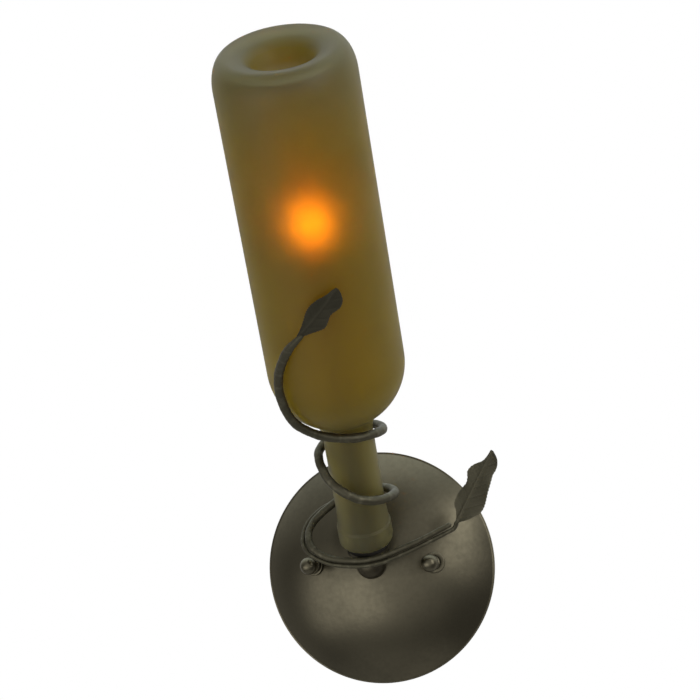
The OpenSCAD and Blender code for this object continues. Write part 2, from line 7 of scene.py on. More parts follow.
import bpy
import numpy as np
from bpy.props import FloatProperty, FloatVectorProperty, PointerProperty
from bpy.types import Operator, Panel, PropertyGroup
from mathutils import Matrix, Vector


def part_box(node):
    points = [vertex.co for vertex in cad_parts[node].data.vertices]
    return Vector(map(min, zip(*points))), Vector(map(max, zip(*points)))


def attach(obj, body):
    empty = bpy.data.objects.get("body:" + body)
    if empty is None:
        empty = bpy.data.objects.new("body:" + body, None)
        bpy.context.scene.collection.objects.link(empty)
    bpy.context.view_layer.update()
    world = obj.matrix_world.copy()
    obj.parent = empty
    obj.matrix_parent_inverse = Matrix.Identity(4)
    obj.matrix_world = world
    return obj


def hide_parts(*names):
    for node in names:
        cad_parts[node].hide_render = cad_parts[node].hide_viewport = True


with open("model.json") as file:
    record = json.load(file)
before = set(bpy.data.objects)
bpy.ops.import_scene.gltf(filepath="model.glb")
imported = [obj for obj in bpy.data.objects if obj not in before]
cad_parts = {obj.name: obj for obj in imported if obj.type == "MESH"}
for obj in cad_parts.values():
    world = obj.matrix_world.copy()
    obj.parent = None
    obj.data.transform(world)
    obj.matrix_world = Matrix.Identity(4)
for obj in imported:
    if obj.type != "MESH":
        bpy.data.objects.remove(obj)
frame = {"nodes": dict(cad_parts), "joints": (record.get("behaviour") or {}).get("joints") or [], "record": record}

bl_info = {
    "name": "Bottle Torch Sconce",
    "version": (1, 0, 0),
    "blender": (4, 5, 0),
    "location": "3D View > Sidebar > Sconce",
    "description": "Dresses a wall sconce with a frosted bottle and a forged vine",
    "category": "Object",
}

MM = 0.001
NATURAL_BASE = 2.71828
# Height at which the bulb shines most, above the mouth along the bottle's axis:
# the upper end of its filament
FILAMENT_HEIGHT = 208 * MM
# Where the camera stands, from the fit of the photo's outlines
CAMERA_PLACE = (0.2976, -1.4204, 0.0278)
SENSOR_WIDTH = 36
# Colours in linear red, green and blue
BLACK, WHITE = (0, 0, 0), (1, 1, 1)
BRONZE, PATINA = (0.2, 0.178, 0.12), (0.12, 0.108, 0.074)
IRON, WORN_IRON = (0.12, 0.11, 0.072), (0.24, 0.22, 0.15)
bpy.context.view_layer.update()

# The bottle's axis starts at its mouth, and the bulb turns about it.
BULB_JOINT = next(joint for joint in frame["joints"] if joint["name"] == "bulb_turn")
MOUTH = np.array(BULB_JOINT["pos_m"])
UPWARD = np.array(BULB_JOINT["axis"])
RIGHT = np.array([1.0, 0.0, 0.0])
FRONT = np.cross(RIGHT, UPWARD)
OUTWARD = np.array([0.0, -1.0, 0.0])

CANOPY_LOW, CANOPY_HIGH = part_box("canopy")
GLASS_LOW, GLASS_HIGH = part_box("glass_bottle")
NUT_LOW, NUT_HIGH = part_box("ball_nut_right")
BODY_RADIUS = (GLASS_HIGH.x - GLASS_LOW.x) / 2
CANOPY_RADIUS = (CANOPY_HIGH.x - CANOPY_LOW.x) / 2
BALL_RADIUS = (NUT_HIGH.x - NUT_LOW.x) / 2

# The route of the vine's rod, in millimetres and degrees: [height above the
# mouth along the bottle's axis, distance from it, angle from front to right]
VINE_ROUTE = [
    [160, 40.8, -6], [154, 40.8, -15], [148, 40.8, -22], [141, 40.8, -28],
    [134, 40.8, -33], [127, 40.8, -36], [120, 40.8, -37], [113, 40.4, -36],
    [106, 38.9, -35], [98.6, 35.8, -33], [92.4, 31, -29], [87.2, 26, -22],
    [84.2, 22.4, -10], [82.4, 20.6, 5], [80.6, 19.5, 22], [78.8, 18.9, 44],
    [76, 18.8, 70], [72.5, 19.4, 98], [69.5, 18.8, 128], [66.5, 18.6, 160],
    [64, 18.5, 195], [62, 18.4, 230], [60.5, 18.3, 263], [59, 18.3, 284],
    [56, 18.3, 303], [51, 18.4, 321], [46.8, 18.5, 342], [43.5, 18.6, 359],
    [40, 18.6, 377], [37.5, 18.8, 395], [35, 19, 415], [32, 19.4, 440],
    [29, 20, 464], [26.5, 19, 490], [23.5, 18.8, 525], [20.5, 19.5, 560],
    [18, 21.5, 588], [14, 26, 608], [10.5, 30, 620], [8, 32, 631],
    [5.5, 32.2, 642], [2.5, 30.5, 652], [0, 27.2, 660], [-1.8, 23, 670],
    [-2.8, 18.8, 684], [-3.1, 16, 703], [-3, 15.3, 725], [-2.3, 16.4, 750],
    [-0.8, 19.7, 773], [1.2, 26, 791], [3.8, 35, 803], [5.8, 42, 809],
    [7.6, 49, 813]
]
# The stem of the lower leaf lies against the thin end of the rod.
STEM_ROUTE = [
    [8, 20, -124], [10, 18.6, -143], [13.5, 19, -158], [16, 21.5, -148],
    [15.5, 25, -131], [13.5, 29, -116], [11, 32.3, -104], [7, 35.2, -93],
    [3, 35.8, -80], [-0.3, 33.4, -70], [-2.8, 29, -61], [-4.6, 24.6, -50],
    [-5.4, 20.6, -36], [-5.5, 18, -17], [-5.3, 17.4, 5], [-4.6, 18.5, 30],
    [-3.2, 21.8, 53], [-1.2, 28.2, 71], [1.4, 37.3, 83], [3.2, 44.4, 89],
    [5, 50.3, 92.5], [9.5, 52.5, 93]
]
# Beads that join the rod and the stem to the seat disc, placed the same way
WELD_SPOTS = [[-4.6, 13.7, -14], [-4.6, 13.6, 6]]

# The recess in the bottle's end, from its crest to the axis: [share of the
# crest's radius, share of the recess's depth]
RECESS_SHAPE = [
    [1, 0], [0.92, 0.02], [0.84, 0.06], [0.76, 0.13], [0.7, 0.2],
    [0.64, 0.3], [0.58, 0.44], [0.52, 0.6], [0.46, 0.76], [0.39, 0.9],
    [0.31, 0.98], [0.24, 1], [0.18, 0.96], [0.09, 0.91], [0.01, 0.9]
]
# The same for the inside of the end, a wall's thickness lower
END_INSIDE = [
    [0.01, 0.92], [0.12, 0.95], [0.24, 1], [0.36, 0.97], [0.44, 0.88],
    [0.52, 0.72], [0.6, 0.53], [0.7, 0.33], [0.8, 0.2], [0.9, 0.13], [1, 0.115]
]

# Each leaf side: [share of the way from base to tip, half width in mm]
UPPER_LEAF_LEFT = [
    [0, 1], [0.1, 1.6], [0.25, 3.1], [0.44, 5.6], [0.59, 6.4], [0.72, 5.2],
    [0.84, 2.6], [0.93, 1.6], [1, 0.5]
]
UPPER_LEAF_RIGHT = [
    [0, 1.1], [0.1, 2.2], [0.19, 4], [0.3, 6.4], [0.4, 7.7], [0.52, 6.7],
    [0.62, 6], [0.76, 8.1], [0.88, 6.8], [0.96, 3.8], [1, 1.2]
]
LOWER_LEAF_LEFT = [
    [0, 1.1], [0.08, 2], [0.14, 3.4], [0.2, 5.7], [0.33, 7], [0.42, 6.4],
    [0.49, 5.3], [0.56, 5.6], [0.63, 7], [0.7, 6.6], [0.76, 5.2], [0.83, 2.6],
    [0.92, 1.3], [1, 0.6]
]
LOWER_LEAF_RIGHT = [
    [0, 1.2], [0.04, 2.8], [0.08, 5], [0.16, 8], [0.27, 10.5], [0.41, 10.8],
    [0.54, 9.6], [0.65, 8], [0.73, 7], [0.8, 7.4], [0.87, 7.2],
    [0.94, 5.4], [1, 1.4]
]


# Settings

def length(name, text, default):
    """A length that a user may change."""
    return FloatProperty(
        name=name, description=text, default=default, unit="LENGTH", precision=5)


def share(name, text, default):
    """A share from none to all."""
    return FloatProperty(
        name=name, description=text, default=default, min=0, max=1, subtype="FACTOR")


def angle(name, text, degrees):
    """An angle that a user may change."""
    return FloatProperty(
        name=name, description=text, default=np.radians(degrees), subtype="ANGLE")


def colour(name, text, default):
    """A colour in linear red, green and blue."""
    return FloatVectorProperty(
        name=name, description=text, default=default, size=3, subtype="COLOR", min=0, max=1)


class SCONCE_PG_bottle(PropertyGroup):
    radius: length("Radius", "Radius of the bottle's body", BODY_RADIUS)
    height: length("Length", "Length of the bottle from its lip to its end", 304 * MM)
    wall: length("Wall", "Thickness of the body's glass", 3 * MM)
    neck: length("Neck radius", "Radius of the neck", 14 * MM)
    bore: length("Bore radius", "Radius of the neck's bore", 9.25 * MM)
    lip: length("Lip radius", "Radius of the lip", 15.3 * MM)
    recess: length("Recess", "Depth of the recess in the bottle's end", 14 * MM)
    tint: colour("Tint", "Colour of the frosted glass", (0.5, 0.385, 0.02))
    # Greyer colour towards both ends: painted sheen, a grey that stands in for the frost's reflection of the light
    painted_sheen: colour("Painted sheen", "Greyer colour of the glass towards both ends", (0.32, 0.31, 0.19))
    frost: share("Frost", "Roughness of the frosted skin", 0.5)
    # Colour of the painted glow, which stands in for the bulb's light that the body's frost scatters
    glow: colour("Glow", "Light that the body's glass scatters", (1.0, 0.36, 0.0))


class SCONCE_PG_canopy(PropertyGroup):
    radius: length("Radius", "Radius of the canopy at the wall", CANOPY_RADIUS)
    depth: length("Depth", "Depth of the canopy from the wall to its apex", -CANOPY_LOW.y)
    sheet: length("Sheet", "Thickness of the canopy's sheet", 1.2 * MM)
    ball: length("Ball radius", "Radius of each ball nut's ball", BALL_RADIUS)
    bronze: colour("Bronze", "Colour of the satin bronze", BRONZE)
    patina: colour("Patina", "Darker colour that clouds the bronze", PATINA)


class SCONCE_PG_vine(PropertyGroup):
    rod: length("Rod radius", "Radius of the rod where it winds round the bottle", 2.5 * MM)
    rod_end: length("Rod end radius", "Radius of the rod at its thin end", 1.4 * MM)
    rod_start: length("Rod start radius", "Radius of the rod at the upper leaf", 1.2 * MM)
    stem: length("Stem radius", "Radius of the lower leaf's stem", 1.25 * MM)
    leaf_thick: length("Leaf thickness", "Thickness of the leaves at the midrib", 1.3 * MM)
    upper_leaf: length("Upper leaf", "Length of the upper leaf", 36 * MM)
    lower_leaf: length("Lower leaf", "Length of the lower leaf", 45 * MM)
    iron: colour("Iron", "Colour of the forged iron", IRON)
    worn: colour("Worn iron", "Lighter colour of rubbed places", WORN_IRON)


class SCONCE_PG_stage(PropertyGroup):
    azimuth: angle("Azimuth", "Camera's angle round the sconce from the front", 12.409)
    elevation: angle("Elevation", "Camera's angle above the horizon", -3.788)
    roll: angle("Roll", "Camera's turn about its own line of sight", -1.597)
    lens: FloatProperty(
        name="Lens", description="Focal length in mm on a 36 mm sensor", default=128.69)
    floor: length("Floor", "Height of the floor, measured from the sconce's origin", -2.0)


class SCONCE_PG_settings(PropertyGroup):
    bottle: PointerProperty(type=SCONCE_PG_bottle)
    canopy: PointerProperty(type=SCONCE_PG_canopy)
    vine: PointerProperty(type=SCONCE_PG_vine)
    stage: PointerProperty(type=SCONCE_PG_stage)


# Lines and outlines

def unit(vectors):
    """Each vector divided by its own length."""
    return vectors / np.linalg.norm(vectors, axis=-1, keepdims=True)


def arc(centre, radius, start, end, steps):
    """Points centre + radius * (cos a, sin a), with a from start to end in degrees."""
    a = np.radians(np.linspace(start, end, steps + 1))
    return np.asarray(centre) + radius * np.stack([np.cos(a), np.sin(a)], -1)


def smooth_line(knots, steps):
    """A smooth line through the knots: between b and c, with neighbours a and d,
    it is half of 2b + (c - a)t + (2a - 5b + 4c - d)t^2 + (3b - a - 3c + d)t^3."""
    knots = np.asarray(knots, float)
    padded = np.concatenate([knots[:1], knots, knots[-1:]])
    a, b, c, d = (padded[i:len(knots) - 1 + i, None] for i in range(4))
    t = np.linspace(0, 1, steps, endpoint=False)[None, :, None]
    bend = (a * 2 - b * 5 + c * 4 - d) * t**2
    line = b * 2 + (c - a) * t + bend + (b * 3 - a - c * 3 + d) * t**3
    return np.concatenate([line.reshape(-1, knots.shape[1]) / 2, knots[-1:]])


def around(height, distance, degrees):
    """Points at a height along the bottle's axis, a distance from it and an angle
    round it: mouth + height * axis + distance * (cos a * front + sin a * right)."""
    a = np.radians(degrees)
    out = np.cos(a)[..., None] * FRONT + np.sin(a)[..., None] * RIGHT
    return MOUTH + height[..., None] * UPWARD + distance[..., None] * out


def route(knots):
    """A smooth line through knots of [height, distance, angle] in mm and degrees."""
    height, distance, degrees = np.array(knots, float).T
    degrees = np.degrees(np.unwrap(np.radians(degrees)))
    return smooth_line(around(height * MM, distance * MM, degrees), steps=16)


# Surfaces

def make_mesh(name, points, faces, pattern=None):
    """A smooth mesh of points and faces. If the volume that the faces enclose comes
    out negative, they point inwards and are turned round. A square counts as two
    triangles, each with the volume a . (b x c) of its corners, up to a factor."""
    def volume_of(triangles):
        a, b, c = (points[triangles[:, i]] for i in range(3))
        return np.einsum("ij,ij->", a, np.cross(b, c))

    halves = [face[[0, 2, 3]] if len(face) == 4 else face[[0, 0, 0]] for face in faces]
    volume = volume_of(np.array([face[:3] for face in faces])) + volume_of(np.array(halves))
    turned = [face[::-1].tolist() if volume < 0 else face.tolist() for face in faces]
    mesh = bpy.data.meshes.new(name)
    mesh.from_pydata(points.tolist(), [], turned)
    mesh.polygons.foreach_set("use_smooth", np.ones(len(faces), bool))
    if pattern is not None:
        own = mesh.attributes.new("pattern", "FLOAT_VECTOR", "POINT")
        own.data.foreach_set("vector", pattern.ravel())
    mesh.validate()
    piece = bpy.data.objects.new(name, mesh)
    bpy.context.scene.collection.objects.link(piece)
    return piece


def grid_surface(name, grid, wrap_rows=False, pattern=None):
    """A surface through a grid of points [row, column], whose columns wrap. Each
    square joins (i, k), (i, k + 1), (i + 1, k + 1) and (i + 1, k). Rows that don't
    wrap are closed by a fan round the middle of the first row and of the last."""
    rows, cols = grid.shape[:2]
    i = np.arange(rows - (not wrap_rows))[:, None]
    k = np.arange(cols)[None]
    below, beside = (i + 1) % rows, (k + 1) % cols
    squares = np.stack(
        [i * cols + k, i * cols + beside, below * cols + beside, below * cols + k], -1)
    faces = list(squares.reshape(-1, 4))
    points = grid.reshape(-1, 3)
    if not wrap_rows:
        k = np.arange(cols)
        near, far = np.full(cols, rows * cols), np.full(cols, rows * cols + 1)
        last = (rows - 1) * cols
        faces += list(np.stack([near, (k + 1) % cols, k], -1))
        faces += list(np.stack([far, last + k, last + (k + 1) % cols], -1))
        points = np.concatenate([points, [grid[0].mean(0), grid[-1].mean(0)]])
    if pattern is not None:
        pattern = pattern.reshape(-1, 3)
        if not wrap_rows:
            pattern = np.concatenate([pattern, pattern[:1], pattern[-1:]])
    return make_mesh(name, points, faces, pattern)


def lathe(name, outline, origin, axis, segments, closed=False):
    """Turns an outline of (distance, height) pairs round an axis:
    origin + height * axis + distance * (cos a * side + sin a * cross(axis, side))."""
    side = unit(RIGHT - (RIGHT @ axis) * axis)
    a = np.linspace(0, 2 * np.pi, segments, endpoint=False)[None, :, None]
    ring = np.cos(a) * side + np.sin(a) * np.cross(axis, side)
    distance, height = outline[:, 0, None, None], outline[:, 1, None, None]
    return grid_surface(name, origin + height * axis + distance * ring, wrap_rows=closed)


def tube(name, path, radius, sides=20, ripple=0.0):
    """A round bar along a path: path + r * (cos a * side + sin a * cross(tangent,
    side)). The side vector is carried from ring to ring without twist. r falls as
    a quarter circle at both ends, and forging makes it swell by up to the ripple."""
    first_angle, end_rings, clear, spacing = 0.12, 8, 1.2, 0.9 * MM
    run = np.concatenate([[0], np.cumsum(np.linalg.norm(np.diff(path, axis=0), axis=1))])
    end = radius(np.array([0.0, 1.0]))
    close = 1 - np.cos(np.linspace(first_angle, np.pi / 2, end_rings))
    middle = np.arange(end[0] * clear, run[-1] - end[1] * clear, spacing)
    stations = np.concatenate([close * end[0], middle, run[-1] - (close * end[1])[::-1]])
    line = np.stack([np.interp(stations, run, path[:, k]) for k in range(3)], -1)
    tangent = unit(np.gradient(line, axis=0))

    def carry(side, along):
        return unit(side - (side @ along) * along)

    start = np.array([0.3, 1.0, 0.2])
    side = np.array(list(accumulate(tangent, carry, initial=start))[1:])
    a = np.linspace(0, 2 * np.pi, sides, endpoint=False)
    left = np.clip(stations / end[0], 0, 1)
    right = np.clip((run[-1] - stations) / end[1], 0, 1)
    rounding = np.sqrt(1 - (1 - left) ** 2) * np.sqrt(1 - (1 - right) ** 2)
    s = stations[:, None] / MM
    swell = np.sin(0.83 * s + 2 * np.sin(a)) + np.sin(0.37 * s + 2 * a)
    swell += 0.7 * np.sin(1.9 * s - 3 * a)
    most_swell = 2.7
    r = (radius(stations / run[-1]) * rounding)[:, None] * (1 + ripple * swell / most_swell)
    cos, sin = np.cos(a)[:, None], np.sin(a)[:, None]
    ring = cos * side[:, None] + sin * np.cross(tangent, side)[:, None]
    pattern = np.stack(
        np.broadcast_arrays(np.cos(a) * end[0], np.sin(a) * end[0], stations[:, None]), -1)
    return grid_surface(name, line[:, None] + r[..., None] * ring, pattern=pattern)


def leaf_grid(size, left, right, thick, fold, wave, rows=110, cols=64):
    """Points of a leaf laid flat, as (across, along, height), closed all round.
    u goes from base to tip and a goes round the section, with v = cos a:
    across = v * half width of that side at u, notched finely along the edge, and
    height = fold * |v|^1.3 * sin(pi u) + wave * v^2 * sin(4.4 pi u + v)
    + thick / 2 * sin a * (1 - u / 2) + a midrib that fades towards the tip."""
    u = np.linspace(0, 1, rows)[:, None]
    a = np.linspace(0, 2 * np.pi, cols, endpoint=False)[None]
    v = np.cos(a)
    notch_depth, notches, rib_high, rib_wide = 0.28 * MM, 24, 0.5 * MM, 0.8 * MM
    left, right = (np.interp(u, *smooth_line(side, 12).T) for side in (left, right))
    half = np.where(v < 0, left, right) * MM
    notch = notch_depth * np.abs(v) ** 6 * np.abs(np.sin(notches * np.pi * u)) * np.sin(np.pi * u)
    across = v * (half - notch)
    rib = rib_high * np.exp(-(across / rib_wide) ** 2) * (1 - 0.7 * u) * np.sin(a)
    folded = fold * np.abs(v) ** 1.3 * np.sin(np.pi * u)
    waved = wave * v**2 * np.sin(4.4 * np.pi * u + v)
    height = folded + waved + thick / 2 * np.sin(a) * (1 - u / 2) + rib
    return np.stack(np.broadcast_arrays(across, size * u, height), -1)


def leaf_pattern(flat):
    """The pattern of a leaf that leaf_grid made: (across, along, v)."""
    v = np.cos(np.linspace(0, 2 * np.pi, flat.shape[1], endpoint=False))[None]
    return np.stack(np.broadcast_arrays(flat[..., 0], flat[..., 1], v), -1)


# Shaders

def darker(paint, factor):
    """A colour at a share of its brightness."""
    return tuple(factor * part for part in paint)


class Link:
    """The output of a shader node. Sums written with it add Math nodes."""

    def __init__(self, finish, socket):
        self.finish, self.socket = finish, socket

    def maths(self, operation, *terms):
        """What a Math node gives for its terms."""
        return self.finish.node(
            "ShaderNodeMath", {"operation": operation}, dict(enumerate(terms)))

    def __add__(self, other):
        return self.maths("ADD", self, other)

    def __sub__(self, other):
        return self.maths("SUBTRACT", self, other)

    def __rsub__(self, other):
        return self.maths("SUBTRACT", other, self)

    def __mul__(self, other):
        return self.maths("MULTIPLY", self, other)

    def __truediv__(self, other):
        return self.maths("DIVIDE", self, other)

    def __pow__(self, other):
        return self.maths("POWER", self, other)

    def __rpow__(self, other):
        return self.maths("POWER", other, self)

    def __gt__(self, other):
        return self.maths("GREATER_THAN", self, other)

    def __abs__(self):
        return self.maths("ABSOLUTE", self)

    __radd__, __rmul__ = __add__, __mul__

    def clamped(self):
        """The value held between 0 and 1."""
        return self.finish.node("ShaderNodeClamp", {}, {0: self})


class Finish:
    """A node tree in the making: a material's, or the world's."""

    def __init__(self, tree):
        self.tree = tree
        tree.nodes.clear()

    def node(self, kind, settings, values, output=0):
        """Adds a node. Its settings are set first, then its sockets' values or links.
        A colour's socket also gets an alpha of 1. Returns the output asked for."""
        made = self.tree.nodes.new(kind)
        for key, value in settings.items():
            setattr(made, key, value)
        for key, value in values.items():
            socket = made.inputs[key]
            if isinstance(value, Link):
                self.tree.links.new(value.socket, socket)
            elif np.size(value) == 3 and len(socket.default_value) == 4:
                socket.default_value = (*value, 1)
            else:
                socket.default_value = value
        return Link(self, made.outputs[output] if made.outputs else None)

    def vector(self, operation, *terms, output="Vector"):
        """What a Vector Math node gives for its terms."""
        settings = {"operation": operation}
        return self.node("ShaderNodeVectorMath", settings, dict(enumerate(terms)), output)

    def split(self, where):
        """The x, y and z of a vector."""
        return [self.node("ShaderNodeSeparateXYZ", {}, {0: where}, k) for k in range(3)]

    def mix(self, factor, first, second):
        """A colour between two colours."""
        colours = {0: factor, 6: first, 7: second}
        return self.node("ShaderNodeMix", {"data_type": "RGBA"}, colours, 2)

    def place(self, stretch=(1, 1, 1), own=False):
        """Object coordinates, or the piece's own pattern, stretched."""
        if own:
            where = self.node("ShaderNodeAttribute", {"attribute_name": "pattern"}, {}, "Vector")
        else:
            where = self.node("ShaderNodeTexCoord", {}, {}, "Object")
        return self.vector("MULTIPLY", where, stretch)

    def noise(self, where, scale, detail=3.0, rough=0.55):
        """Cloudy values about 0.5."""
        values = {"Vector": where, "Scale": scale, "Detail": detail, "Roughness": rough}
        return self.node("ShaderNodeTexNoise", {}, values, 0)

    def from_mouth(self, operation, output):
        """What a vector operation gives for the way from the mouth and the axis."""
        way = self.vector("SUBTRACT", self.place(), MOUTH)
        return self.vector(operation, way, UPWARD, output=output)

    def height(self):
        """How far up the bottle's axis a point is from the mouth."""
        return self.from_mouth("DOT_PRODUCT", "Value")

    def near(self, height, spread, power=2):
        """One at a height along the bottle's axis, falling off on both sides as
        exp(-(distance / spread)^power)."""
        rise = abs((self.height() - height) / spread)
        return NATURAL_BASE ** (rise**power * -1)

    def inside(self, radius, soft):
        """One near the bottle's axis, falling to none between radius - soft and radius."""
        distance = self.vector("LENGTH", self.from_mouth("CROSS_PRODUCT", "Vector"), output="Value")
        return ((radius - distance) / soft).clamped()

    def bump(self, height, strength, distance):
        """A normal that leans with a height, as if it rose by up to the distance."""
        values = {"Strength": strength, "Distance": distance, "Height": height}
        return self.node("ShaderNodeBump", {}, values)


def material(name, build, **constants):
    """A material whose Principled shader takes constants and what build returns."""
    made = bpy.data.materials.new(name)
    made.use_nodes = True
    finish = Finish(made.node_tree)
    values = {key.replace("_", " "): value for key, value in constants.items()}
    values.update(build(finish))
    shader = finish.node("ShaderNodeBsdfPrincipled", {}, values)
    finish.node("ShaderNodeOutputMaterial", {}, {"Surface": shader})
    return made


def satin_bronze(bronze, patina, roughness=0.4):
    """Satin bronze: slow clouds of patina, fine mottling and a rubbed sheen."""
    def build(finish):
        where = finish.place()
        clouds = finish.noise(where, scale=26, detail=4)
        grain = finish.noise(where, scale=420, detail=2)
        dark = ((clouds - 0.38) * 2.6).clamped()
        return {
            "Base Color": finish.mix(dark * 0.75 + (grain - 0.5) * 0.5, bronze, patina),
            "Roughness": roughness + (clouds - 0.5) * 0.16 + (grain - 0.5) * 0.1,
            "Normal": finish.bump(grain + clouds * 2, strength=0.12, distance=0.2 * MM),
        }
    return build


def forged_iron(iron, worn, own=True):
    """Forged iron with a dark wax finish: hammer dents, scale and rubbed ridges."""
    def build(finish):
        where = finish.place(own=own)
        dents = finish.noise(where, scale=260, detail=2)
        scale = finish.noise(finish.place((1, 1, 0.35), own), scale=900, detail=3)
        rubbed = ((dents - 0.52) * 4).clamped()
        return {
            "Base Color": finish.mix(rubbed * 0.7 + (scale - 0.5) * 0.6, iron, worn),
            "Roughness": 0.5 + (scale - 0.5) * 0.3 - rubbed * 0.08,
            "Normal": finish.bump(dents * 2 + scale * 0.5, strength=0.35, distance=0.35 * MM),
        }
    return build


def leaf_iron(iron, worn):
    """A forged leaf: lengthwise streaks, side veins that run out and forward, and
    edges that are rubbed lighter. It reads the pattern that leaf_pattern gives."""
    vein_slant, veins_per_metre, vein_sharpness, midrib_fall = 0.85, 950, 9, 1400

    def build(finish):
        across, along, edge = finish.split(finish.place(own=True))
        streaks = finish.noise(finish.place((1, 0.16, 1), own=True), scale=900, detail=3)
        comb = (along - abs(across) * vein_slant) * veins_per_metre
        veins = (comb.maths("SINE", comb) * 0.5 + 0.5) ** vein_sharpness
        midrib = (1 - abs(across) * midrib_fall).clamped()
        rubbed = ((abs(edge) - 0.86) * 6).clamped()
        light = rubbed * 0.6 + (streaks - 0.45) * 1.1 + midrib * 0.25
        relief = streaks * 0.6 - veins * 0.8 + midrib * 0.5
        return {
            "Base Color": finish.mix(light, iron, worn),
            "Roughness": 0.55 + (streaks - 0.5) * 0.3,
            "Normal": finish.bump(relief, strength=0.5, distance=0.4 * MM),
        }
    return build


def frosted_glass(tint, painted_sheen, frost, glow):
    """Frosted amber glass: a clouded tint that gives way to a greyer painted sheen towards both ends, which stands
    in for reflected light, a fine etched grain, and a faint painted glow on the body, which stands in for the
    bulb's light scattered in the frost, most where the glass is seen square on."""
    def build(finish):
        where = finish.place()
        clouds = finish.noise(where, scale=22, detail=3)
        grain = finish.noise(where, scale=2200, detail=2)
        # Away from the body, the neck and the recess, towards the lip and round the end's outer ring, the colour
        # turns to the painted sheen: grey that stands in for reflected light
        recess = finish.inside(radius=21 * MM, soft=7 * MM) * (finish.height() > 200 * MM)
        body = finish.near(height=190 * MM, spread=104 * MM, power=6)
        neck = finish.near(height=50 * MM, spread=70 * MM) * 0.5
        amber = (body + neck + recess + (clouds - 0.5) * 0.3).clamped()
        clouded = finish.mix(clouds, tint, darker(tint, 0.72))
        # Painted glow: emission that stands in for the bulb's light scattered in the frost, strongest where the
        # glass is seen square on
        square_on = 1 - finish.node("ShaderNodeLayerWeight", {}, {"Blend": 0.5}, "Facing")
        painted_glow = body * square_on**4 * 0.022
        return {
            "Base Color": finish.mix(amber, painted_sheen, clouded),
            "Roughness": frost + (clouds - 0.5) * 0.12 + (grain - 0.5) * 0.06,
            "Emission Color": finish.mix(painted_glow, BLACK, glow),
            "Normal": finish.bump(grain + clouds * 3, strength=0.08, distance=0.2 * MM),
        }
    return build


def lit_bulb(tint, glow):
    """Lightly frosted bulb glass that shines most round the filament's height."""
    def build(finish):
        grain = finish.noise(finish.place(), scale=200)
        shine = finish.near(FILAMENT_HEIGHT, spread=10 * MM)
        return {
            "Base Color": finish.mix(grain, tint, darker(tint, 0.92)),
            "Roughness": 0.35 + (grain - 0.5) * 0.2,
            "Emission Color": finish.mix(shine, BLACK, glow),
            "Normal": finish.bump(grain, strength=0.02, distance=0.1 * MM),
        }
    return build


def plain_finish(tint, mottle=0.15, roughness=0.4, scale=300, dent=0.1):
    """One colour with a fine mottle in its shade, roughness and relief."""
    def build(finish):
        grain = finish.noise(finish.place(), scale)
        return {
            "Base Color": finish.mix(grain, tint, darker(tint, 1 - mottle)),
            "Roughness": roughness + (grain - 0.5) * 0.2,
            "Normal": finish.bump(grain, dent, distance=0.1 * MM),
        }
    return build


def drawn_metal(tint, roughness=0.28):
    """Drawn or turned metal: fine level lines and dull spots."""
    def build(finish):
        lines = finish.noise(finish.place((1, 1, 9)), scale=260)
        spots = finish.noise(finish.place(), scale=120)
        return {
            "Base Color": finish.mix(spots, tint, darker(tint, 0.75)),
            "Roughness": roughness + (lines - 0.5) * 0.2 + (spots - 0.5) * 0.15,
            "Normal": finish.bump(lines, strength=0.12, distance=0.05 * MM),
        }
    return build


def dressed(piece, finish, body, slot, *nodes):
    """Gives a new piece its finish and its body, and hides the nodes it stands for. The slot is not used."""
    piece.data.materials.append(finish)
    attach(piece, body)
    if nodes:
        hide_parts(*nodes)
    return piece


# Pieces

def bottle_outline(s):
    """The bottle's outline as (distance, height) from its mouth. It runs down the
    inside from the middle of the end, round the lip, and up the outside: neck, a
    concave throat, a round shoulder, the body, a heel that is a quarter of an
    ellipse, and the recess, which ends on the axis."""
    turn, shoulder, shoulder_height = 55, 36 * MM, 118 * MM
    heel, heel_high, base, crest_wall = 8.5 * MM, 17 * MM, 4 * MM, 5.6 * MM
    crest = s.radius - heel
    cos, sin = np.cos(np.radians(turn)), np.sin(np.radians(turn))

    def quarter(across, high, start, end):
        a = np.radians(np.linspace(start, end, 17))[:, None]
        ellipse = np.concatenate([across * np.cos(a), high * np.sin(a)], 1)
        return [crest, s.height - heel_high] + ellipse

    def throat(radius, start):
        bend = (start[0] - radius) / (1 - cos)
        middle = [radius + bend, start[1] - bend * sin]
        return arc(middle, bend, 180 - turn, 180, 20)

    centre = np.array([s.radius - shoulder, shoulder_height])
    toward = np.array([cos, -sin])
    lip_round, band_round, groove_round = 3.5 * MM, 0.8 * MM, 0.9 * MM
    band_top, groove, cove_from, cove_to, neck_from = (h * MM for h in (12, 14, 15, 19, 24))
    recess = smooth_line(RECESS_SHAPE, 6) * [crest, -s.recess] + [0, s.height]
    inside = smooth_line(END_INSIDE, 6) * [crest, -s.recess] + [0, s.height - base]
    return np.concatenate([
        inside,
        quarter(heel - s.wall, heel_high - crest_wall, 76, 0),
        arc(centre, shoulder - s.wall, 0, -turn, 24),
        throat(s.bore, centre + (shoulder - s.wall) * toward)[1:],
        [[s.bore, 0.8 * MM], [s.bore + 0.25 * MM, 0.2 * MM], [s.bore + 0.8 * MM, 0]],
        arc([s.lip - lip_round, lip_round], lip_round, -90, 0, 8),
        arc([s.lip - band_round, band_top], band_round, 0, 60, 4),
        arc([s.lip + 0.2 * MM, groove], groove_round, 240, 180, 4),
        smooth_line([
            [s.lip - band_round, cove_from], [s.neck + 0.25 * MM, cove_to], [s.neck, neck_from]
        ], 6)[1:],
        throat(s.neck, centre + shoulder * toward)[::-1],
        arc(centre, shoulder, -turn, 0, 24)[1:],
        quarter(heel, heel_high, 0, 90),
        recess[1:],
    ])


